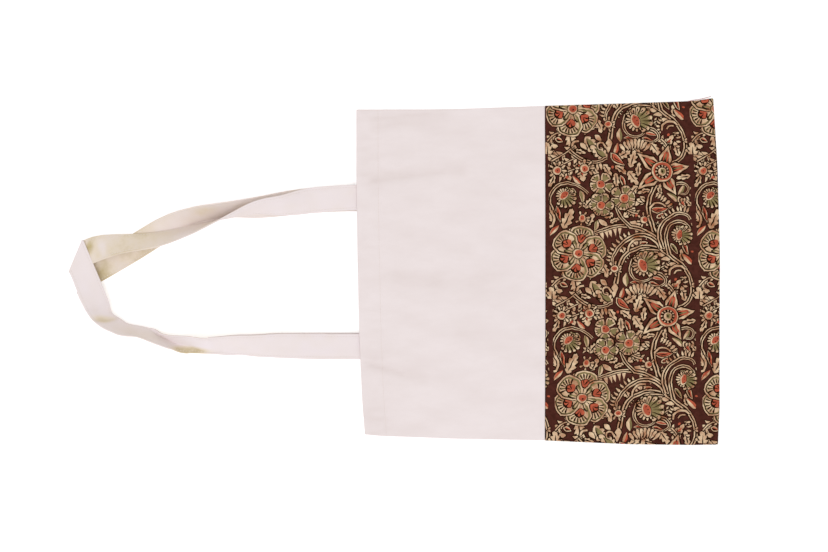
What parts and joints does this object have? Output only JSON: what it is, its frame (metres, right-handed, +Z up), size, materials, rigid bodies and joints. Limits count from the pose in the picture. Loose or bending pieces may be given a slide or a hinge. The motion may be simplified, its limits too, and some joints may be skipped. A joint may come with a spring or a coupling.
{
  "type": "tote bag",
  "caption": "Flat cotton tote bag lying on its back: plain calico above, block-printed floral cotton round the base, and folded calico shoulder straps sewn inside the hem.",
  "frame": {"origin": "centre of the whole bag's footprint, straps included, on the surface that it lies on", "axes": "+X from the straps' loops to the base of the bag, +Y across the bag, +Z up from the surface to the front of the bag"},
  "size_m": [0.6896, 0.3678, 0.0313],
  "materials": {
    "calico": "plain-woven unbleached cotton with a faint pink cast, matt, lightly creased",
    "printed_cotton": "plain-woven cotton, block printed with cream, red and olive flowers on a maroon ground, matt"
  },
  "bodies": {
    "root": {"canvas_front": "calico", "canvas_back": "calico", "print_panel": "printed_cotton", "strap_front": "calico", "strap_back": "calico"}
  },
  "joints": []
}
